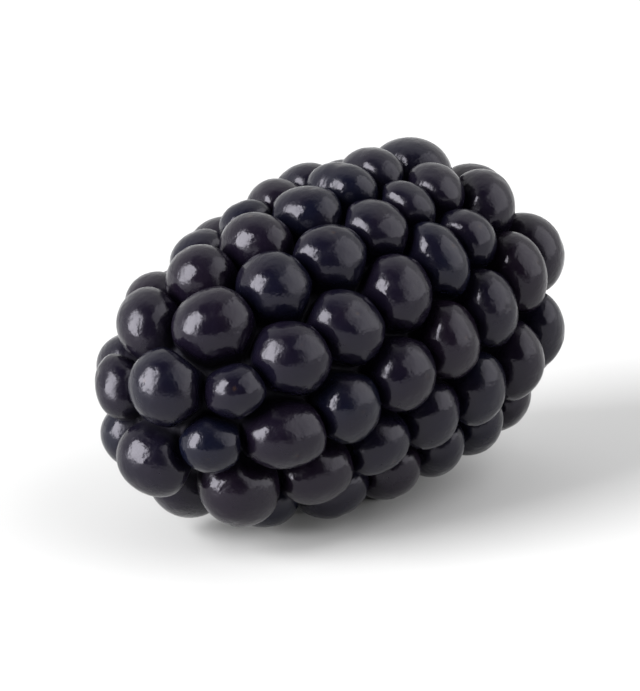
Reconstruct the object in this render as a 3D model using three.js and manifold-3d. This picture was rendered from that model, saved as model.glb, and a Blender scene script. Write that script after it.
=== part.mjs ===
// A ripe bramble berry, as picked, lying on its side.
// Units are millimetres, with +Z up. The berry's tip points to -X and its stem end to +X, a little
// raised, because a berry is wider at the stem. The origin is under the middle of its box, on the
// surface that it rests on.

import * as THREE from "three";
import { ConvexHull } from "three/addons/math/ConvexHull.js";
import { mergeVertices } from "three/addons/utils/BufferGeometryUtils.js";
import Module from "manifold-3d";

// The smooth outer form that the tops of the drupelets about reach
const berryLength = 36;
const berryWidth = 22.1; // across the middle
const roundness = 2.2; // 2 is an ellipse, more is squarer at the shoulders
const stemEndWidening = 0.165; // share by which the stem end is wider, and the tip narrower
const sideBow = 0.3; // how far the middle bows to one side

// The drupelets, the small beads of fruit
const drupeletCount = 86;
const drupeletSpacing = 4.52; // middle to middle of two typical neighbours
const domeOverSpacing = 0.545; // a drupelet's radius as a share of the spacing
const smallShare = 0.1; // share of drupelets that stayed small between their neighbours
const smallSizes = [0.7, 0.82]; // as shares of the typical size
const usualSizes = [0.93, 1.13];
const arrangementSeed = 31;
const spiralJitter = 0.5; // radians
const settlingRounds = 120;
const settlingPush = 0.25; // share of an overlap that one round takes away
const fullness = 1.04; // over 1, because ripe drupelets press on each other
const crowding = { tip: 1.1, stem: 1.5 }; // how much closer they sit along the berry than round it

// The drupelets' own shapes
const swelling = 1.015; // a drupelet's radius against the mean distance to the creases round it
const stretches = [0.95, 1.1]; // along one direction of the skin, and its inverse across it
const heights = [0.96, 1.08]; // outwards, as shares of the radius
const creaseWidth = 0.2; // between the pressed flanks of two neighbours
const creaseDepth = 0.9; // below the drupelets' middles
const flankSharpness = 10; // higher makes the flanks flatter and their edges crisper
const ringShares = [0.25, 0.5, 0.73, 0.91]; // rings of points, from the top to the crease
const creaseSteps = 2; // stretches of each crease between two drupelets

// The pale end of the core, where the stalk came off: a low cushion with a scar in its middle
const plugSize = 3.0; // from its middle to the nearest drupelets
const scarRise = 0.1; // above the line from crease to crease
const plugRings = [
  { radius: 0.8, rise: 0.3 },
  { radius: 1.3, rise: 0.8 },
  { radius: 2.3, rise: 0.7 },
];

// How it lies
const turnAboutAxis = 255; // degrees
const stemEndRaised = 7; // degrees
const pressedFlat = 0.4; // how much its weight flattens the lowest drupelets

const typicalSize = drupeletSpacing / 2;
const domeRadius = domeOverSpacing * drupeletSpacing;
const bedLength = berryLength / 2 - domeRadius; // half of it, from the middle to one end
const bedRadius = berryWidth / 2 - domeRadius;

const wasm = await Module();
wasm.setup();

// Numbers from 0 to 1 that are the same in every run.
function seededNumbers(seed) {
  let state = seed;
  return () => {
    state = (state * 1664525 + 1013904223) % 4294967296;
    return state / 4294967296;
  };
}

const draw = seededNumbers(arrangementSeed);

function drawBetween([low, high]) {
  return low + (high - low) * draw();
}

// The bed is the form that the middles of the drupelets lie on: a superellipse turned about X.
function ontoBed(point) {
  const along = Math.abs(point.x) / bedLength;
  const across = Math.hypot(point.y, point.z) / bedRadius;
  const level = along ** roundness + across ** roundness;
  return point.multiplyScalar(level ** (-1 / roundness));
}

// The real berry's taper and bow, given to a point of the bed.
function shaped(point) {
  const share = point.x / bedLength;
  const width = 1 + stemEndWidening * share;
  return new THREE.Vector3(
    point.x,
    point.y * width,
    point.z * width + sideBow * (1 - share * share),
  );
}

// The direction out of the bed at a point on it.
function outwards(point) {
  const across = Math.hypot(point.y, point.z);
  const sideways = (across / bedRadius) ** (roundness - 1) / bedRadius / across;
  const along = (Math.abs(point.x) / bedLength) ** (roundness - 1) / bedLength;
  return new THREE.Vector3(
    Math.sign(point.x) * along,
    sideways * point.y,
    sideways * point.z,
  ).normalize();
}

// The point of the bed at a share of the way from its middle to its ends, and an angle round it.
function bedPoint(along, angle) {
  const across = bedRadius * Math.sqrt(1 - along * along);
  const around = [across * Math.cos(angle), across * Math.sin(angle)];
  return ontoBed(new THREE.Vector3(bedLength * along, ...around));
}

// The way from one drupelet to another as they feel it when they push each other apart. It is
// longer along the berry than it really is, and shorter round it, so they end up as upright ovals.
function feltWay(from, to) {
  const stemwards = 0.5 + (from.x + to.x) / bedLength / 4;
  const stretched = Math.sqrt(THREE.MathUtils.lerp(crowding.tip, crowding.stem, stemwards));
  const way = to.clone().sub(from);
  return new THREE.Vector3(way.x * stretched, way.y / stretched, way.z / stretched);
}

// The drupelets start on a spiral from tip to stem end, then push each other apart until they sit
// as pressed beads do.
function placeDrupelets() {
  const sizes = Array.from({ length: drupeletCount }, () => {
    const isSmall = draw() < smallShare;
    return typicalSize * drawBetween(isSmall ? smallSizes : usualSizes);
  });
  const goldenAngle = Math.PI * (3 - Math.sqrt(5));
  const spiralEnd = 0.97; // short of the stem end, where the plug is
  const points = sizes.map((size, i) => {
    const along = -1 + ((2 * (i + 0.5)) / drupeletCount) * spiralEnd;
    return bedPoint(along, goldenAngle * i + spiralJitter * draw());
  });
  const plugMiddle = shaped(new THREE.Vector3(bedLength, 0, 0));
  for (let round = 0; round < settlingRounds; round++) {
    const placed = points.map(shaped);
    const moves = placed.map((here, i) => {
      const move = new THREE.Vector3();
      placed.forEach((there, j) => {
        if (i === j) return;
        const apart = feltWay(there, here);
        const distance = apart.length();
        const overlap = (sizes[i] + sizes[j]) * fullness - distance;
        if (overlap > 0)
          move.addScaledVector(apart, (overlap / distance) * settlingPush);
      });
      const fromPlug = here.clone().sub(plugMiddle);
      const distance = fromPlug.length();
      const overlap = sizes[i] + plugSize - distance;
      if (overlap > 0) move.addScaledVector(fromPlug, overlap / distance / 2);
      return move;
    });
    points.forEach((point, i) => ontoBed(point.add(moves[i])));
  }
  return points.map((onBed, i) => ({
    onBed,
    middle: shaped(onBed),
    out: outwards(onBed),
    size: sizes[i],
    stretch: drawBetween(stretches),
    height: drawBetween(heights),
    turn: Math.PI * draw(),
  }));
}

function addFace(after, a, b, c) {
  after[a].set(b, c);
  after[b].set(c, a);
  after[c].set(a, b);
}

// Turns every edge between two cells that lies across from two nearer ones, so that it joins those
// instead. Says whether there was any.
function turnLongEdges(after, middles) {
  const angleAt = (here, a, b) => {
    const toA = middles[a].clone().sub(middles[here]);
    return toA.angleTo(middles[b].clone().sub(middles[here]));
  };
  const tolerance = 1e-6;
  let turned = false;
  for (let a = 0; a < middles.length; a++) {
    for (const b of [...after[a].keys()]) {
      if (!after[a].has(b)) continue;
      const c = after[a].get(b);
      const d = after[b].get(a);
      if (angleAt(c, a, b) + angleAt(d, a, b) < Math.PI + tolerance) continue;
      after[a].delete(b);
      after[b].delete(a);
      addFace(after, a, d, c);
      addFace(after, d, b, c);
      turned = true;
    }
  }
  return turned;
}

// Which cells touch: for each cell, a map from each of its neighbours to the one after it,
// anticlockwise as seen from outside.
function neighboursOf(cells) {
  const points = cells.map(({ onBed }) => onBed);
  const after = cells.map(() => new Map());
  for (const { edge } of new ConvexHull().setFromPoints(points).faces) {
    const edges = [edge, edge.next, edge.prev];
    addFace(after, ...edges.map((each) => points.indexOf(each.head().point)));
  }
  const middles = points.map(shaped);
  let turned;
  do turned = turnLongEdges(after, middles);
  while (turned);
  return after;
}

// The point on the bed where the creases between some cells meet: a mean of the cells' middles,
// nearer to the small ones.
function meetingPoint(...cells) {
  const mean = new THREE.Vector3();
  cells.forEach(({ onBed, size }) => mean.addScaledVector(onBed, 1 / size));
  return ontoBed(mean);
}

// The inner points of the crease between two cells: a curve from corner to corner through the
// point between the cells' middles.
function alongCrease(start, middle, end) {
  const points = [];
  for (let step = 1; step < creaseSteps; step++) {
    const share = step / creaseSteps;
    const point = start
      .clone()
      .multiplyScalar((1 - share) * (1 - 2 * share))
      .addScaledVector(middle, 4 * share * (1 - share))
      .addScaledVector(end, share * (2 * share - 1));
    points.push(ontoBed(point));
  }
  return points;
}

// The bottoms of all the creases: their points, the direction in which the crease opens at each,
// and for each cell the closed line of points round it, anticlockwise as seen from outside.
// Neighbours share their points.
function creaseNetwork(cells) {
  const after = neighboursOf(cells);
  const points = [];
  const openings = [];
  const made = new Map();
  function numbersOf(cellsThatMeet, makeOnBed) {
    const name = cellsThatMeet.toSorted((a, b) => a - b).join(" ");
    if (!made.has(name)) {
      const numbers = makeOnBed().map((onBed) => {
        const opening = outwards(onBed);
        openings.push(opening);
        return points.push(shaped(onBed).addScaledVector(opening, -creaseDepth)) - 1;
      });
      made.set(name, { numbers, maker: cellsThatMeet[0] });
    }
    const { numbers, maker } = made.get(name);
    return maker === cellsThatMeet[0] ? numbers : numbers.toReversed();
  }
  const rims = cells.map((here, cell) => {
    const rim = [];
    const [first] = after[cell].keys();
    let before = first;
    do {
      const next = after[cell].get(before);
      const afterNext = after[cell].get(next);
      const corner = meetingPoint(here, cells[before], cells[next]);
      const middle = meetingPoint(here, cells[next]);
      const otherCorner = meetingPoint(here, cells[next], cells[afterNext]);
      rim.push(...numbersOf([cell, before, next], () => [corner]));
      rim.push(
        ...numbersOf([cell, next], () => alongCrease(corner, middle, otherCorner)),
      );
      before = next;
    } while (before !== first);
    return rim;
  });
  return { points, openings, rims };
}

// The direction that lies a share of the way round from one to another.
function between(from, to, share) {
  const angle = from.angleTo(to);
  const end = to.clone().normalize();
  return from
    .clone()
    .multiplyScalar(Math.sin((1 - share) * angle))
    .addScaledVector(end, Math.sin(share * angle))
    .normalize();
}

// The flank of a drupelet at one point of its rim, a plane up through the crease. It's given by
// how much it leans outwards and how far it is from the drupelet's middle.
function flankAt(bead, fromMiddle, sidewards, opening) {
  const lean = Math.atan2(opening.dot(sidewards), opening.dot(bead.out));
  const outOfFlank = sidewards
    .clone()
    .multiplyScalar(Math.cos(lean))
    .addScaledVector(bead.out, -Math.sin(lean));
  return { outOfFlank, distance: fromMiddle.dot(outOfFlank) - creaseWidth / 2 };
}

// The top of a drupelet and rings of points round it, each with a point towards every point of its
// rim. The skin is a bead as long in each direction as its rim, slightly stretched, and pressed
// flat where it meets its neighbours.
function domeOf(bead, rim, openings) {
  const fromMiddle = rim.map((point) => point.clone().sub(bead.middle));
  const aside = fromMiddle.map((each) => each.clone().projectOnPlane(bead.out));
  const meanOf = (numbers) => numbers.reduce((sum, each) => sum + each) / rim.length;
  const radius = swelling * meanOf(fromMiddle.map((each) => each.length()));
  const meanSquare = meanOf(aside.map((each) => each.lengthSq()));
  const lengthwise = new THREE.Vector3(1, 0, 0).projectOnPlane(bead.out).normalize();
  const stretchWay = lengthwise.applyAxisAngle(bead.out, bead.turn);
  const otherWay = new THREE.Vector3().crossVectors(bead.out, stretchWay);
  const skinPoint = (direction, longness, flank) => {
    const round = Math.hypot(
      direction.dot(bead.out) / bead.height,
      direction.dot(stretchWay) / bead.stretch / longness,
      (direction.dot(otherWay) * bead.stretch) / longness,
    );
    const flat = Math.max(0, direction.dot(flank.outOfFlank)) / flank.distance;
    const level = (round / radius) ** flankSharpness + flat ** flankSharpness;
    return bead.middle
      .clone()
      .addScaledVector(direction, level ** (-1 / flankSharpness));
  };
  const top = bead.middle.clone().addScaledVector(bead.out, radius * bead.height);
  const rings = ringShares.map((share) =>
    rim.map((point, i) => {
      const sidewards = aside[i].clone().normalize();
      const spread = meanOf(aside.map((each) => each.dot(sidewards) ** 2));
      const longness = Math.sqrt((2 * spread) / meanSquare);
      const flank = flankAt(bead, fromMiddle[i], sidewards, openings[i]);
      return skinPoint(between(bead.out, fromMiddle[i], share), longness, flank);
    }),
  );
  return { top, rings };
}

// The end of the core, with rings round its scar.
function plugDome(rim) {
  const middle = new THREE.Vector3(bedLength - creaseDepth, 0, 0);
  const top = middle.clone();
  top.x += scarRise;
  const rings = plugRings.map(({ radius, rise }) =>
    rim.map((point) => {
      const place = point.clone().sub(middle).setLength(radius).add(middle);
      place.x += rise;
      return place;
    }),
  );
  return { top, rings };
}

// Triangles from the top of a dome down over its rings.
function domeTriangles(top, rings) {
  const triangles = [];
  const sides = rings[0].length;
  for (let side = 0; side < sides; side++) {
    const next = (side + 1) % sides;
    triangles.push(top, rings[0][side], rings[0][next]);
    for (let ring = 1; ring < rings.length; ring++) {
      const [inner, outer] = [rings[ring - 1], rings[ring]];
      triangles.push(inner[side], outer[side], outer[next]);
      triangles.push(inner[side], outer[next], inner[next]);
    }
  }
  return triangles;
}

// The whole skin as one closed surface, a dome over every cell of the creases.
function skinGeometry() {
  const beads = placeDrupelets();
  const plug = { onBed: new THREE.Vector3(bedLength, 0, 0), size: plugSize };
  const { points, openings, rims } = creaseNetwork([...beads, plug]);
  const triangles = [];
  rims.forEach((rim, cell) => {
    const bottoms = rim.map((number) => points[number]);
    const opening = rim.map((number) => openings[number]);
    const bead = beads[cell];
    const { top, rings } = bead ? domeOf(bead, bottoms, opening) : plugDome(bottoms);
    const topNumber = points.push(top) - 1;
    const ringNumbers = rings.map((ring) =>
      ring.map((point) => points.push(point) - 1),
    );
    triangles.push(...domeTriangles(topNumber, [...ringNumbers, rim]));
  });
  return new THREE.BufferGeometry().setFromPoints(points).setIndex(triangles);
}

// A three.js geometry as a solid for cutting.
function solidFrom(geometry) {
  const bare = geometry.clone();
  bare.deleteAttribute("normal");
  bare.deleteAttribute("uv");
  const merged = mergeVertices(bare, 1e-4);
  return new wasm.Manifold(
    new wasm.Mesh({
      numProp: 3,
      vertProperties: merged.getAttribute("position").array,
      triVerts: Uint32Array.from(merged.index.array),
    }),
  );
}

function geometryFrom(solid) {
  const mesh = solid.getMesh();
  return new THREE.BufferGeometry()
    .setAttribute("position", new THREE.BufferAttribute(mesh.vertProperties, 3))
    .setIndex(new THREE.BufferAttribute(mesh.triVerts, 1));
}

// Lays the berry down, flattens its lowest drupelets against the surface, and moves it over the
// origin.
function laidDown(geometry) {
  geometry.rotateX(THREE.MathUtils.degToRad(turnAboutAxis));
  geometry.rotateY(-THREE.MathUtils.degToRad(stemEndRaised));
  geometry.computeBoundingBox();
  const surface = geometry.boundingBox.min.z + pressedFlat;
  const room = 2 * berryLength;
  const below = new THREE.BoxGeometry(room, room, room);
  below.translate(0, 0, surface - room / 2);
  const rested = geometryFrom(solidFrom(geometry).subtract(solidFrom(below)));
  rested.computeBoundingBox();
  const middle = rested.boundingBox.getCenter(new THREE.Vector3());
  return rested.translate(-middle.x, -middle.y, -surface);
}

const skin = new THREE.MeshStandardMaterial({
  color: 0x16141b,
  roughness: 0.35,
  metalness: 0,
});

const berry = new THREE.Mesh(laidDown(skinGeometry()), skin);
berry.name = "bramble_berry";

const part = new THREE.Group();
part.add(berry);

export default part;
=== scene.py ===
"""A ripe bramble berry, as picked, lying on its side on a pale floor."""

import itertools
import math

import bpy
import numpy as np
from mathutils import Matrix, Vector


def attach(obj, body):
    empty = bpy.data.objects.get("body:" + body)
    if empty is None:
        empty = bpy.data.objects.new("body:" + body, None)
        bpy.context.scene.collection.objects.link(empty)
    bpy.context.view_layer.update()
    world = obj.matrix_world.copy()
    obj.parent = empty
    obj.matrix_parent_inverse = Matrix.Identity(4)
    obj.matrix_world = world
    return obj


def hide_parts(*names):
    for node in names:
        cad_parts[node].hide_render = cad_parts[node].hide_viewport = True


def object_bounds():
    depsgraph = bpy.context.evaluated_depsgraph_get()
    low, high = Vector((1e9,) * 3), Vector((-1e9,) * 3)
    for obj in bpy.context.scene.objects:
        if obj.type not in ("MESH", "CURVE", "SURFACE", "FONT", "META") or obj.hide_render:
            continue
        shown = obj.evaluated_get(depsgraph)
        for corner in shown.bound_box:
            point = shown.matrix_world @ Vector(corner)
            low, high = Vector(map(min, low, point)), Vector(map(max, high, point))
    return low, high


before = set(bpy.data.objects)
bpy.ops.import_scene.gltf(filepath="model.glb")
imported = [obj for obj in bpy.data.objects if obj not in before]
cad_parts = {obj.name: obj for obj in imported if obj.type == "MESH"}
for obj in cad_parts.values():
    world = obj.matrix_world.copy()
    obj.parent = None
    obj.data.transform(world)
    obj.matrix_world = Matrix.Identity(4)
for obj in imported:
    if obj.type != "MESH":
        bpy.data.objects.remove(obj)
cad_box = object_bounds()

MM = 0.001

# The smooth outer form that the tops of the drupelets about reach, in millimetres. Here and for
# the drupelets, all is as in the solid model.
BERRY_LENGTH = 36.0
BERRY_WIDTH = 22.1  # across the middle
ROUNDNESS = 2.2  # 2 is an ellipse, more is squarer at the shoulders
STEM_END_WIDENING = 0.165  # share by which the stem end is wider, and the tip narrower
SIDE_BOW = 0.3  # how far the middle bows to one side

# How the drupelets, the small beads of fruit, are arranged
DRUPELET_COUNT = 86
DRUPELET_SPACING = 4.52  # middle to middle of two typical neighbours
DOME_OVER_SPACING = 0.545  # a drupelet's radius as a share of the spacing
SMALL_SHARE = 0.1  # share of drupelets that stayed small between their neighbours
SMALL_SIZES = (0.7, 0.82)  # as shares of the typical size
USUAL_SIZES = (0.93, 1.13)
ARRANGEMENT_SEED = 31
SPIRAL_END = 0.97  # short of the stem end, where the core's end is
SPIRAL_JITTER = 0.5  # radians
SETTLING_ROUNDS = 120
SETTLING_PUSH = 0.25  # share of an overlap that one round takes away
FULLNESS = 1.04  # over 1, because ripe drupelets press on each other
CROWDING = (1.1, 1.5)  # how much closer they sit along the berry than round it, at tip and stem

# The drupelets' own shapes
SWELLING = 1.015  # a drupelet's radius against the mean distance to the creases round it
STRETCHES = (0.95, 1.1)  # along one direction of the skin, and its inverse across it
HEIGHTS = (0.96, 1.08)  # outwards, as shares of the radius
CREASE_WIDTH = 0.2  # between the pressed flanks of two neighbours
CREASE_DEPTH = 0.9  # below the drupelets' middles
FLANK_SHARPNESS = 10  # higher makes the flanks flatter and their edges crisper
PLUG_SIZE = 3.0  # from the middle of the core's end to the nearest drupelets

# How it lies
TURN_ABOUT_AXIS = math.radians(255)
STEM_END_RAISED = math.radians(7)

TYPICAL_SIZE = DRUPELET_SPACING / 2
DOME_RADIUS = DOME_OVER_SPACING * DRUPELET_SPACING
BED_LENGTH = BERRY_LENGTH / 2 - DOME_RADIUS
BED_RADIUS = BERRY_WIDTH / 2 - DOME_RADIUS

# How fine the skin is made
CREASE_STEPS = 7  # stretches of each crease between two drupelets
RINGS = 17  # rings of points on a drupelet, between its top and the crease
RING_CROWDING = 0.85  # under 1 brings the rings closer together near the crease

# What the solid model leaves out: no two drupelets are quite alike, and each has the scar of its
# style near its top
UNEVENNESS_SEED = 7
LUMPS_PER_DRUPELET = 5
LUMP_HEIGHT = 0.019  # as a share of the radius
LUMP_WAVES = (2.5, 5.5)  # radians of a wave over one radius
SCAR_DEPTH = 0.08
SCAR_RADIUS = 0.26
SCAR_ASIDE = 0.22  # from the drupelet's top, as an angle in radians

# The pale end of the core, where the stalk came off
CUSHION_RISE = 0.85
CUSHION_SHOULDER = 6  # higher keeps the cushion flat further out
PIT_DEPTH = 0.75
PIT_RADIUS = 0.9
PLUG_SIDES = 168
PLUG_RINGS = 30
PLUG_THICKNESS = 0.27  # at its edge
PLUG_UNDERSIDE = (1, 0.93, 0.93)  # its edge's size underneath, as shares of that on top
SEAT_DEPTH = 0.45  # how far the skin's floor lies below the crease there
SEAT_SIZE = (1, 0.9, 0.9)  # the floor's size, as shares of the crease's

# The fibres of the core's end
FIBRE_SEED = 3
FIBRE_COUNTS = (21, 34, 13)  # bundles that run out from the pit, in three sets over each other
FIBRE_HEIGHT = 0.055
FIBRE_LEAN = 1.2  # the most that a set leans over, in radians of its waves a millimetre
FIBRE_SWAY = 1.0  # how far a set sways to and fro round the pit, in radians of its waves
FIBRE_SWAYS = 3
FIBRE_FADE = 4  # higher keeps them high further out

# Each face has a tint, from 0 to 1
MIDDLE_TINT = 0.5

# The look of the skin. Noise is in waves in a metre, and relief in metres.
BLUE_BLACK = (0.0022, 0.0028, 0.0078)
RED_BLACK = (0.0048, 0.0028, 0.0064)
BLOTCH_NOISE = 350
BLOTCH_STRENGTH = 0.5
# Painted shade: a darker colour in the creases between drupelets and on the sunk floor under the
# core's end
CREASE_PAINTED_SHADE = (0.0008, 0.0006, 0.0034)
CREASE_DULLNESS = 0.5  # added to the roughness there
SCAR_COLOUR = (0.016, 0.009, 0.008)
SKIN_ROUGHNESS = (0.16, 0.28)
ROUGHNESS_NOISE = 900
SKIN_IOR = 1.36  # of watery flesh under a thin wax
SKIN_SHEEN = (0.92, 0.89, 1.0)  # the tint of its gloss
DENT_NOISE = 1400
DENT_RELIEF = 0.00006
PORE_NOISE = 5200
PORE_RELIEF = 0.000007

# The look of the core's end
CORE_PALE = (0.40, 0.36, 0.19)
CORE_GREEN = (0.24, 0.26, 0.10)
CORE_BROWN = (0.15, 0.095, 0.04)
BROWN_STRENGTH = 0.85
JUICE_STAIN = (0.045, 0.005, 0.018)
STAIN_RAGGEDNESS = 0.18
STAIN_NOISE = 1100
GREEN_NOISE = 1500
CORE_ROUGHNESS = 0.6
CORE_SUBSURFACE = 0.15
CORE_SUBSURFACE_SCALE = 0.0008
GRAIN_NOISE = 2600
GRAIN_RELIEF = 0.0001

# The view of the photograph, from 43 degrees to the tip's side and 20 above
CAMERA_AZIMUTH = -43
CAMERA_ELEVATION = 20
LENS = 300.0
SENSOR = 36.0
FRAME_HEIGHT = 0.0445  # seen at the berry
AIM = (0.0, 0.0, 0.0105)

# The floor and the light
FLOOR_SIZE = 2.0  # from its middle to its edges
FLOOR_COLOUR = (0.58, 0.58, 0.58)
FLOOR_ROUGHNESS = 0.9
DARK_SIDE = (CAMERA_AZIMUTH - 20, 28)  # azimuth and elevation of the middle of the dark room
DARK_ANGLES = (78, 42)  # from that middle: where the walls have all their light, where it is darkest
WALL_LIGHT = 1.05
ROOM_LIGHT = 0.03
LIGHT_DISTANCE = 1.0
LIGHTS = (
    # Name, azimuth, elevation, size and power
    ("key", CAMERA_AZIMUTH - 64, 23, (0.66, 0.9), 31.0),
    ("fill", CAMERA_AZIMUTH + 74, 36, (1.5, 1.3), 11.0),
)


def seeded_numbers(seed):
    """Numbers from 0 to 1 that are the same in every run."""
    state = seed
    while True:
        state = (state * 1664525 + 1013904223) % 4294967296
        yield state / 4294967296


draws = seeded_numbers(ARRANGEMENT_SEED)


def draw_between(low, high):
    return low + (high - low) * next(draws)


def unit(vectors):
    return vectors / np.linalg.norm(vectors, axis=-1, keepdims=True)


def onto_bed(points):
    """The bed is the form that the drupelets' middles lie on: a superellipse turned about X."""
    along = np.abs(points[..., 0]) / BED_LENGTH
    across = np.hypot(points[..., 1], points[..., 2]) / BED_RADIUS
    level = along**ROUNDNESS + across**ROUNDNESS
    return points * level[..., None] ** (-1 / ROUNDNESS)


def shaped(points):
    """The real berry's taper and bow, given to points of the bed."""
    share = points[..., 0] / BED_LENGTH
    width = 1 + STEM_END_WIDENING * share
    bow = SIDE_BOW * (1 - share * share)
    return np.stack([points[..., 0], points[..., 1] * width, points[..., 2] * width + bow], -1)


def outwards(points):
    """The direction out of the bed at points on it."""
    across = np.hypot(points[..., 1], points[..., 2])
    sideways = (across / BED_RADIUS) ** (ROUNDNESS - 1) / BED_RADIUS / across
    along = (np.abs(points[..., 0]) / BED_LENGTH) ** (ROUNDNESS - 1) / BED_LENGTH
    lengthwise = np.sign(points[..., 0]) * along
    return unit(np.stack([lengthwise, sideways * points[..., 1], sideways * points[..., 2]], -1))


def bed_point(along, angle):
    """The point of the bed at a share of the way from its middle to its end, and at an angle."""
    across = BED_RADIUS * np.sqrt(1 - along * along)
    places = [BED_LENGTH * along, across * np.cos(angle), across * np.sin(angle)]
    return onto_bed(np.stack(places, -1))


def felt_ways(placed):
    """The way to each drupelet from each other one, as they feel it when they push apart.

    It is longer along the berry than it really is, and shorter round it, so they end up as
    upright ovals.
    """
    ways = placed[:, None] - placed[None]
    stemwards = 0.5 + (placed[:, None, 0] + placed[None, :, 0]) / BED_LENGTH / 4
    stretched = np.sqrt(CROWDING[0] + (CROWDING[1] - CROWDING[0]) * stemwards)
    return ways * np.stack([stretched, 1 / stretched, 1 / stretched], -1)


def place_drupelets():
    """The drupelets start on a spiral from tip to stem end, then push each other apart.

    In the end they sit as pressed beads do.
    """
    sizes = np.empty(DRUPELET_COUNT)
    for i in range(DRUPELET_COUNT):
        small = next(draws) < SMALL_SHARE
        sizes[i] = TYPICAL_SIZE * draw_between(*(SMALL_SIZES if small else USUAL_SIZES))
    golden_angle = math.pi * (3 - math.sqrt(5))
    along = -1 + 2 * (np.arange(DRUPELET_COUNT) + 0.5) / DRUPELET_COUNT * SPIRAL_END
    jitter = np.array([SPIRAL_JITTER * next(draws) for _ in range(DRUPELET_COUNT)])
    points = bed_point(along, golden_angle * np.arange(DRUPELET_COUNT) + jitter)
    plug_middle = shaped(np.array([BED_LENGTH, 0.0, 0.0]))
    for _ in range(SETTLING_ROUNDS):
        placed = shaped(points)
        apart = felt_ways(placed)
        distance = np.linalg.norm(apart, axis=-1)
        np.fill_diagonal(distance, np.inf)
        overlap = np.maximum(0, (sizes[:, None] + sizes[None]) * FULLNESS - distance)
        move = (apart * (overlap / distance)[..., None]).sum(1) * SETTLING_PUSH
        from_plug = placed - plug_middle
        distance = np.linalg.norm(from_plug, axis=-1)
        overlap = np.maximum(0, sizes + PLUG_SIZE - distance)
        move += from_plug * (overlap / distance / 2)[:, None]
        points = onto_bed(points + move)
    beads = []
    for on_bed, size in zip(points, sizes):
        bead = {"on_bed": on_bed, "size": size}
        bead["middle"] = shaped(on_bed)
        bead["out"] = outwards(on_bed)
        bead["stretch"] = draw_between(*STRETCHES)
        bead["height"] = draw_between(*HEIGHTS)
        bead["turn"] = math.pi * next(draws)
        beads.append(bead)
    return beads


def hull_faces(points):
    """Every three points that have all the others on one side, anticlockwise from outside."""
    tolerance = 1e-7
    triples = np.array(list(itertools.combinations(range(len(points)), 3)))
    a, b, c = (points[triples[:, k]] for k in range(3))
    normal = np.cross(b - a, c - a)
    side = normal @ points.T - (normal * a).sum(1)[:, None]
    facing_out = (side < tolerance).all(1)
    facing_in = (side > -tolerance).all(1)
    return np.concatenate([triples[facing_out], triples[facing_in][:, ::-1]])


def add_face(after, a, b, c):
    after[a][b] = c
    after[b][c] = a
    after[c][a] = b


def turn_long_edges(after, middles):
    """Turns every edge between two cells that lies across from two nearer ones. Says if any did."""

    def angle_at(here, a, b):
        to_a, to_b = unit(middles[a] - middles[here]), unit(middles[b] - middles[here])
        return math.acos(max(-1.0, min(1.0, float(to_a @ to_b))))

    tolerance = 1e-6
    turned = False
    for a in range(len(middles)):
        for b in list(after[a]):
            if b not in after[a]:
                continue
            c, d = after[a][b], after[b][a]
            if angle_at(c, a, b) + angle_at(d, a, b) < math.pi + tolerance:
                continue
            del after[a][b], after[b][a]
            add_face(after, a, d, c)
            add_face(after, d, b, c)
            turned = True
    return turned


def neighbours_of(cells):
    """For each cell, a map from each of its neighbours to the one after it, anticlockwise."""
    points = np.array([cell["on_bed"] for cell in cells])
    after = [{} for _ in cells]
    for face in hull_faces(points):
        add_face(after, *(int(corner) for corner in face))
    middles = shaped(points)
    while turn_long_edges(after, middles):
        pass
    return after


def meeting_point(*cells):
    """The point on the bed where the creases between some cells meet."""
    return onto_bed(sum(cell["on_bed"] / cell["size"] for cell in cells))


def along_crease(start, middle, end, steps):
    """The inner points of the crease between two cells, on a curve through its middle."""
    share = (np.arange(1, steps) / steps)[:, None]
    curve = (1 - share) * (1 - 2 * share) * start + 4 * share * (1 - share) * middle
    return onto_bed(curve + share * (2 * share - 1) * end)


def crease_network(cells, steps):
    """The bottoms of the creases, where each of their points opens to, and the rim of each cell."""
    after = neighbours_of(cells)
    points, openings = [], []
    made = {}

    def numbers_of(meeting, on_bed):
        name = tuple(sorted(meeting))
        if name not in made:
            bottoms = shaped(on_bed) - outwards(on_bed) * CREASE_DEPTH
            made[name] = (list(range(len(points), len(points) + len(bottoms))), meeting[0])
            points.extend(bottoms)
            openings.extend(outwards(on_bed))
        numbers, maker = made[name]
        return numbers if maker == meeting[0] else numbers[::-1]

    rims = []
    for number, here in enumerate(cells):
        first = next(iter(after[number]))
        before, rim = first, []
        while True:
            following = after[number][before]
            then = after[number][following]
            corner = meeting_point(here, cells[before], cells[following])
            middle = meeting_point(here, cells[following])
            other_corner = meeting_point(here, cells[following], cells[then])
            rim += numbers_of((number, before, following), corner[None])
            crease = along_crease(corner, middle, other_corner, steps)
            rim += numbers_of((number, following), crease)
            before = following
            if before == first:
                break
        rims.append(rim)
    return points, np.array(openings), rims


def between(start, towards, share):
    """The directions that lie a share of the way round from one to each of some others."""
    angle = np.arccos(np.clip(towards @ start, -1, 1))[:, None]
    return unit(np.sin((1 - share) * angle) * start + np.sin(share * angle) * towards)


def unevenness(directions, rng):
    """A low, smooth unevenness over a drupelet, as shares of its radius."""
    total = np.zeros(directions.shape[:-1])
    for _ in range(LUMPS_PER_DRUPELET):
        along = directions @ unit(rng.normal(size=3))
        total += np.sin(rng.uniform(*LUMP_WAVES) * along + rng.uniform(0, 2 * math.pi))
    return LUMP_HEIGHT * total / math.sqrt(LUMPS_PER_DRUPELET)


def near_scar(directions, out, radius, rng):
    """How near each direction comes to the scar of the style, from 0 to 1."""
    aside = unit(np.cross(out, rng.normal(size=3)))
    middle = unit(out + rng.uniform(0, SCAR_ASIDE) * aside)
    distance = np.linalg.norm(directions - middle, axis=-1) * radius
    return np.exp(-((distance / SCAR_RADIUS) ** 2))


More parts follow.
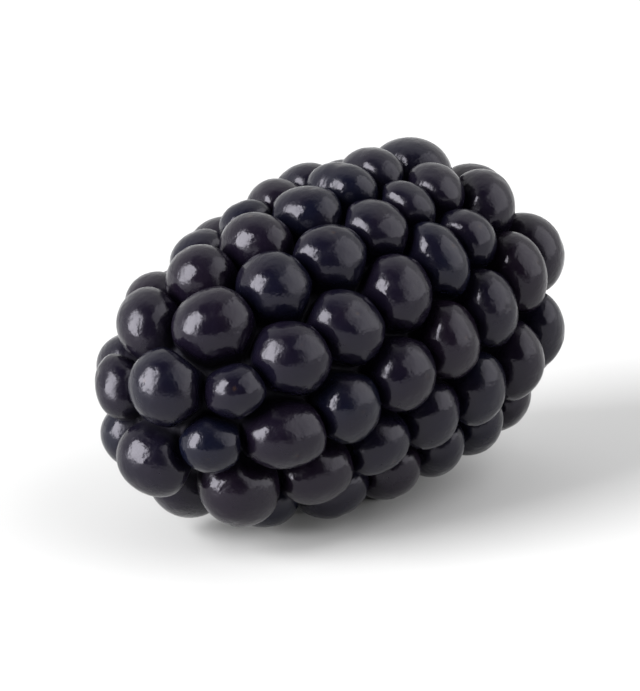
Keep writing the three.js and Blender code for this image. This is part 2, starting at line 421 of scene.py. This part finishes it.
def dome_of(bead, rim, openings, rng):
    """Rings of points from a drupelet's top down to its rim, and how near each is to the scar.

    The skin is a bead as long in each direction as its rim, slightly stretched, and pressed flat
    where it meets its neighbours.
    """
    out, middle = bead["out"], bead["middle"]
    away = rim - middle
    aside = away - (away @ out)[:, None] * out
    sidewards = unit(aside)
    lean = np.arctan2((openings * sidewards).sum(1), openings @ out)[:, None]
    out_of_flanks = np.cos(lean) * sidewards - np.sin(lean) * out
    flanks = (away * out_of_flanks).sum(1) - CREASE_WIDTH / 2
    radius = SWELLING * np.linalg.norm(away, axis=1).mean()
    longness = np.sqrt(2 * ((sidewards @ aside.T) ** 2).sum(1) / (aside**2).sum())
    lengthwise = unit(np.array([1.0, 0.0, 0.0]) - out[0] * out)
    crosswise = np.cross(out, lengthwise)
    stretch_way = math.cos(bead["turn"]) * lengthwise + math.sin(bead["turn"]) * crosswise
    other_way = np.cross(out, stretch_way)
    shares = (np.arange(RINGS + 1) / (RINGS + 1)) ** RING_CROWDING
    directions = np.stack([between(out, unit(away), share) for share in shares])
    rounded = np.sqrt(
        (directions @ out / bead["height"]) ** 2
        + (directions @ stretch_way / bead["stretch"] / longness) ** 2
        + (directions @ other_way * bead["stretch"] / longness) ** 2
    )
    flat = np.maximum(0, (directions * out_of_flanks).sum(-1)) / flanks
    level = (rounded / radius) ** FLANK_SHARPNESS + flat**FLANK_SHARPNESS
    scar = near_scar(directions, out, radius, rng)
    reach = level ** (-1 / FLANK_SHARPNESS) * (1 + unevenness(directions, rng)) - SCAR_DEPTH * scar
    return middle + directions * reach[..., None], scar


def plug_surface(rim):
    """The end of the core over its rim: a low cushion of fibres, with a pit in its middle."""
    rng = np.random.default_rng(FIBRE_SEED)
    middle = np.array([BED_LENGTH - CREASE_DEPTH, 0.0, 0.0])
    away = rim - middle
    angles = np.arctan2(away[:, 2], away[:, 1])
    order = np.argsort(angles)
    turns = np.arange(PLUG_SIDES) / PLUG_SIDES * 2 * math.pi - math.pi
    across, sunk = (
        np.interp(turns, angles[order], values[order], period=2 * math.pi)
        for values in (np.hypot(away[:, 1], away[:, 2]), away[:, 0])
    )
    share = ((np.arange(PLUG_RINGS) + 1) / PLUG_RINGS)[:, None]
    radius = share * across
    cushion = CUSHION_RISE * (1 - share**CUSHION_SHOULDER)
    rise = cushion - PIT_DEPTH * np.exp(-((radius / PIT_RADIUS) ** 2))
    inside_edges = np.minimum(1, radius) * (1 - share**FIBRE_FADE)
    for fibres in FIBRE_COUNTS:
        lean = rng.uniform(-FIBRE_LEAN, FIBRE_LEAN) * radius
        sway = FIBRE_SWAY * np.sin(FIBRE_SWAYS * turns + rng.uniform(0, 6))
        height = FIBRE_HEIGHT * FIBRE_COUNTS[0] / fibres
        rise += height * np.sin(fibres * turns + lean + sway) * inside_edges
    places = [sunk * share + rise, radius * np.cos(turns), radius * np.sin(turns)]
    top = middle + np.array([CUSHION_RISE - PIT_DEPTH, 0.0, 0.0])
    return top, middle + np.stack(places, -1)


def laid_down(points):
    """Turns points of the berry from its own axis to how it lies."""
    x, y, z = points.T
    cos, sin = math.cos(TURN_ABOUT_AXIS), math.sin(TURN_ABOUT_AXIS)
    y, z = y * cos - z * sin, y * sin + z * cos
    cos, sin = math.cos(STEM_END_RAISED), math.sin(STEM_END_RAISED)
    x, z = x * cos - z * sin, x * sin + z * cos
    return np.stack([x, y, z], -1)


class Surface:
    """Points and faces of one closed skin, with numbers that colour them."""

    def __init__(self, points=()):
        self.points = list(points)
        self.faces = []
        self.marks = {"height": [0.0] * len(self.points), "scar": [0.0] * len(self.points)}
        self.tints = []

    def add_points(self, points, height=0.0, scar=0.0):
        """Height is from 0 in the creases to 1 at the top, and scar from 0 to 1 at the scar."""
        first = len(self.points)
        self.points.extend(points)
        for mark, value in (("height", height), ("scar", scar)):
            self.marks[mark].extend(np.broadcast_to(value, len(points)))
        return list(range(first, len(self.points)))

    def add_dome(self, top, rings, tint):
        """Faces from one point down over rings of points."""
        sides = len(rings[0])
        for side in range(sides):
            following = (side + 1) % sides
            self.add_face((top, rings[0][side], rings[0][following]), tint)
            for inner, outer in itertools.pairwise(rings):
                corners = (inner[side], outer[side], outer[following], inner[following])
                self.add_face(corners, tint)

    def add_face(self, corners, tint):
        self.faces.append(corners)
        self.tints.append(tint)

    def make_piece(self, name, shift):
        """The skin as an object that lies as the berry does, pressed flat where it rests."""
        placed = laid_down(np.array(self.points)) + shift
        placed[:, 2] = np.maximum(placed[:, 2], 0)
        mesh = bpy.data.meshes.new(name)
        mesh.from_pydata((placed * MM).tolist(), [], self.faces)
        mesh.shade_smooth()
        for mark, values in self.marks.items():
            mesh.attributes.new(mark, "FLOAT", "POINT").data.foreach_set("value", values)
        mesh.attributes.new("tint", "FLOAT", "FACE").data.foreach_set("value", self.tints)
        piece = bpy.data.objects.new(name, mesh)
        bpy.context.scene.collection.objects.link(piece)
        return piece


def drupelet_skin(beads, points, openings, rims):
    """A dome over every cell of the creases, and a sunk floor under the end of the core."""
    rng = np.random.default_rng(UNEVENNESS_SEED)
    skin = Surface(points)
    for bead, rim in zip(beads, rims):
        bottoms = np.array([points[number] for number in rim])
        rings, scar = dome_of(bead, bottoms, openings[rim], rng)
        heights = 1 - np.arange(len(rings)) / len(rings)
        top = skin.add_points([rings[0, 0]], heights[0], scar[0, 0])[0]
        numbered = [
            skin.add_points(ring, height, near)
            for ring, height, near in zip(rings[1:], heights[1:], scar[1:])
        ]
        skin.add_dome(top, [*numbered, rim], rng.uniform())
    plug_rim = rims[-1]
    floor_points = [points[number] * SEAT_SIZE - (SEAT_DEPTH, 0, 0) for number in plug_rim]
    floor_rim = skin.add_points(floor_points)
    middle = skin.add_points([np.mean(floor_points, axis=0)])[0]
    skin.add_dome(middle, [floor_rim, plug_rim], MIDDLE_TINT)
    return skin


def core_end(rim):
    """The cushion at the end of the core, closed underneath."""
    surface = Surface()
    top_point, rings = plug_surface(rim)
    shares = (np.arange(PLUG_RINGS) + 1) / PLUG_RINGS
    top = surface.add_points([top_point], 1.0)[0]
    numbered = [surface.add_points(ring, 1 - share) for ring, share in zip(rings, shares)]
    surface.add_dome(top, numbered, MIDDLE_TINT)
    down = (PLUG_THICKNESS, 0, 0)
    under = surface.add_points(rings[-1] * PLUG_UNDERSIDE - down)
    middle = surface.add_points([np.mean(rings[-1], axis=0) - down])[0]
    edge = numbered[-1]
    for side in range(PLUG_SIDES):
        following = (side + 1) % PLUG_SIDES
        corners = (edge[side], under[side], under[following], edge[following])
        surface.add_face(corners, MIDDLE_TINT)
        surface.add_face((under[side], middle, under[following]), MIDDLE_TINT)
    return surface


def shift_into_box(points):
    """Moves the laid berry over the origin, its top level with the solid model's."""
    placed = laid_down(np.array(points))
    low, high = placed.min(0), placed.max(0)
    box_low, box_high = (np.array(corner) / MM for corner in cad_box)
    shift = (box_low + box_high - low - high) / 2
    shift[2] = box_high[2] - high[2]
    return shift


def build_berry():
    """The two pieces that are shown: all the drupelets in one skin, and the end of the core."""
    beads = place_drupelets()
    plug = {"on_bed": np.array([BED_LENGTH, 0.0, 0.0]), "size": PLUG_SIZE}
    points, openings, rims = crease_network([*beads, plug], CREASE_STEPS)
    skin = drupelet_skin(beads, points, openings, rims)
    plug_rim = np.array([points[number] for number in rims[-1]])
    shift = shift_into_box(skin.points)
    drupelets = skin.make_piece("drupelets", shift)
    core = core_end(plug_rim).make_piece("core_end", shift)
    return drupelets, core


def new_material(name):
    material = bpy.data.materials.new(name)
    material.use_nodes = True
    tree = material.node_tree
    return material, tree, tree.nodes["Principled BSDF"]


def mark_of(tree, name):
    """The output of a mark that the mesh carries."""
    node = tree.nodes.new("ShaderNodeAttribute")
    node.attribute_name = name
    return node.outputs["Fac"]


def noise_of(tree, scale, detail=2.0):
    """Noise that is fixed to the piece. The scale is the number of waves in a metre."""
    place = tree.nodes.new("ShaderNodeTexCoord")
    node = tree.nodes.new("ShaderNodeTexNoise")
    node.inputs["Scale"].default_value = scale
    node.inputs["Detail"].default_value = detail
    tree.links.new(place.outputs["Object"], node.inputs["Vector"])
    return node.outputs["Fac"]


def remap(tree, value, low, high, to_low, to_high):
    """Runs smoothly from one number to another where the value runs from low to high."""
    node = tree.nodes.new("ShaderNodeMapRange")
    node.interpolation_type = "SMOOTHSTEP"
    node.inputs["From Min"].default_value = low
    node.inputs["From Max"].default_value = high
    node.inputs["To Min"].default_value = to_low
    node.inputs["To Max"].default_value = to_high
    tree.links.new(value, node.inputs["Value"])
    return node.outputs["Result"]


def sum_of(tree, first, second):
    node = tree.nodes.new("ShaderNodeMath")
    tree.links.new(first, node.inputs[0])
    tree.links.new(second, node.inputs[1])
    return node.outputs["Value"]


def mix_colours(tree, share, first, second):
    """Each colour is either three numbers or an output."""
    node = tree.nodes.new("ShaderNodeMix")
    node.data_type = "RGBA"
    tree.links.new(share, node.inputs["Factor"])
    for socket, colour in ((node.inputs[6], first), (node.inputs[7], second)):
        if isinstance(colour, tuple):
            socket.default_value = (*colour, 1)
        else:
            tree.links.new(colour, socket)
    return node.outputs[2]


def add_bump(tree, shader, layers):
    """Layers of fine relief, each a height and how many metres high it stands."""
    normal = None
    for height, distance in layers:
        node = tree.nodes.new("ShaderNodeBump")
        node.inputs["Distance"].default_value = distance
        tree.links.new(height, node.inputs["Height"])
        if normal:
            tree.links.new(normal, node.inputs["Normal"])
        normal = node.outputs["Normal"]
    tree.links.new(normal, shader.inputs["Normal"])


def skin_material():
    """Ripe skin: near black with a tint of blue or red, glossy on top, and duller and darkened by
    painted shade in the creases.
    """
    material, tree, shader = new_material("drupelet_skin")
    tinted = mix_colours(tree, mark_of(tree, "tint"), BLUE_BLACK, RED_BLACK)
    blotches = remap(tree, noise_of(tree, BLOTCH_NOISE), 0.4, 0.75, 0, BLOTCH_STRENGTH)
    blotched = mix_colours(tree, blotches, tinted, RED_BLACK)
    height = mark_of(tree, "height")
    # Painted shade: the base colour darkens to near black down in the creases
    clear_of_crease_shade = remap(tree, height, 0.02, 0.45, 0, 1)
    with_crease_shade = mix_colours(tree, clear_of_crease_shade, CREASE_PAINTED_SHADE, blotched)
    on_scar = remap(tree, mark_of(tree, "scar"), 0.5, 1, 0, 1)
    scarred = mix_colours(tree, on_scar, with_crease_shade, SCAR_COLOUR)
    tree.links.new(scarred, shader.inputs["Base Color"])
    dull = remap(tree, height, 0.05, 0.4, CREASE_DULLNESS, 0)
    uneven = remap(tree, noise_of(tree, ROUGHNESS_NOISE), 0.3, 0.7, *SKIN_ROUGHNESS)
    tree.links.new(sum_of(tree, uneven, dull), shader.inputs["Roughness"])
    pores = noise_of(tree, PORE_NOISE, 1.0)
    dents = noise_of(tree, DENT_NOISE)
    add_bump(tree, shader, ((dents, DENT_RELIEF), (pores, PORE_RELIEF)))
    shader.inputs["IOR"].default_value = SKIN_IOR
    shader.inputs["Specular Tint"].default_value = (*SKIN_SHEEN, 1)
    return material


def core_material():
    """Pale, slightly green flesh with darker fibres, stained by juice at its edge."""
    material, tree, shader = new_material("core_end")
    height = mark_of(tree, "height")
    greenness = remap(tree, noise_of(tree, GREEN_NOISE, 4.0), 0.35, 0.7, 0, 1)
    patchy = mix_colours(tree, greenness, CORE_PALE, CORE_GREEN)
    in_pit = remap(tree, height, 0.6, 1, 0, BROWN_STRENGTH)
    pitted = mix_colours(tree, in_pit, patchy, CORE_BROWN)
    raggedness = (-STAIN_RAGGEDNESS, STAIN_RAGGEDNESS)
    shift = remap(tree, noise_of(tree, STAIN_NOISE, 3.0), 0.3, 0.7, *raggedness)
    at_edge = remap(tree, sum_of(tree, height, shift), 0.02, 0.5, 1, 0)
    stained = mix_colours(tree, at_edge, pitted, JUICE_STAIN)
    tree.links.new(stained, shader.inputs["Base Color"])
    shader.inputs["Roughness"].default_value = CORE_ROUGHNESS
    shader.inputs["Subsurface Weight"].default_value = CORE_SUBSURFACE
    shader.inputs["Subsurface Scale"].default_value = CORE_SUBSURFACE_SCALE
    add_bump(tree, shader, ((noise_of(tree, GRAIN_NOISE, 5.0), GRAIN_RELIEF),))
    return material


def add_area_light(name, place, size, power, aim):
    data = bpy.data.lights.new(name, "AREA")
    data.shape = "RECTANGLE"
    data.size, data.size_y = size
    data.energy = power
    light = bpy.data.objects.new(name, data)
    light.location = place
    light.rotation_mode = "QUATERNION"
    light.rotation_quaternion = (Vector(aim) - Vector(place)).to_track_quat("-Z", "Y")
    bpy.context.scene.collection.objects.link(light)


def direction(azimuth, elevation):
    """From the berry towards a place round it. Azimuth 0 is at -Y, and 90 at +X."""
    a, e = math.radians(azimuth), math.radians(elevation)
    return Vector((math.sin(a) * math.cos(e), -math.cos(a) * math.cos(e), math.sin(e)))


def add_camera():
    """Seen from the tip's side and from a little above, as in the photograph, but closer."""
    back = direction(CAMERA_AZIMUTH, CAMERA_ELEVATION)
    data = bpy.data.cameras.new("camera")
    data.lens = LENS
    data.sensor_fit = "VERTICAL"
    data.sensor_height = SENSOR
    data.clip_start = 0.01
    data.clip_end = 50
    camera = bpy.data.objects.new("camera", data)
    camera.location = Vector(AIM) + back * FRAME_HEIGHT / SENSOR * LENS
    camera.rotation_mode = "QUATERNION"
    camera.rotation_quaternion = (-back).to_track_quat("-Z", "Y")
    bpy.context.scene.collection.objects.link(camera)
    bpy.context.scene.camera = camera


def add_floor():
    """A plain pale floor, only for the picture."""
    mesh = bpy.data.meshes.new("floor")
    corner_signs = ((-1, -1), (1, -1), (1, 1), (-1, 1))
    corners = [(x * FLOOR_SIZE, y * FLOOR_SIZE, 0) for x, y in corner_signs]
    mesh.from_pydata(corners, [], [(0, 1, 2, 3)])
    floor = bpy.data.objects.new("floor", mesh)
    bpy.context.scene.collection.objects.link(floor)
    material, _, shader = new_material("floor")
    shader.inputs["Base Color"].default_value = (*FLOOR_COLOUR, 1)
    shader.inputs["Roughness"].default_value = FLOOR_ROUGHNESS
    mesh.materials.append(material)


def add_surroundings():
    """White walls all round, but for a dark room behind the camera."""
    world = bpy.data.worlds.new("surroundings")
    world.use_nodes = True
    tree = world.node_tree
    towards = tree.nodes.new("ShaderNodeTexCoord")
    nearness = tree.nodes.new("ShaderNodeVectorMath")
    nearness.operation = "DOT_PRODUCT"
    nearness.inputs[1].default_value = direction(*DARK_SIDE)
    tree.links.new(towards.outputs["Generated"], nearness.inputs[0])
    edges = [math.cos(math.radians(angle)) for angle in DARK_ANGLES]
    light = remap(tree, nearness.outputs["Value"], *edges, WALL_LIGHT, ROOM_LIGHT)
    background = tree.nodes["Background"]
    background.inputs["Color"].default_value = (1, 1, 1, 1)
    tree.links.new(light, background.inputs["Strength"])
    bpy.context.scene.world = world


def add_lights():
    for name, azimuth, elevation, size, power in LIGHTS:
        place = Vector(AIM) + direction(azimuth, elevation) * LIGHT_DISTANCE
        add_area_light(name, place, size, power, AIM)


drupelets, core = build_berry()
for piece, slot, material in (
    (drupelets, "drupelet_skin", skin_material()),
    (core, "core_end", core_material()),
):
    piece.data.materials.append(material)
    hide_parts("bramble_berry")
    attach(piece, "root")

add_floor()
add_surroundings()
add_lights()
add_camera()
bpy.context.scene.view_settings.view_transform = "Standard"
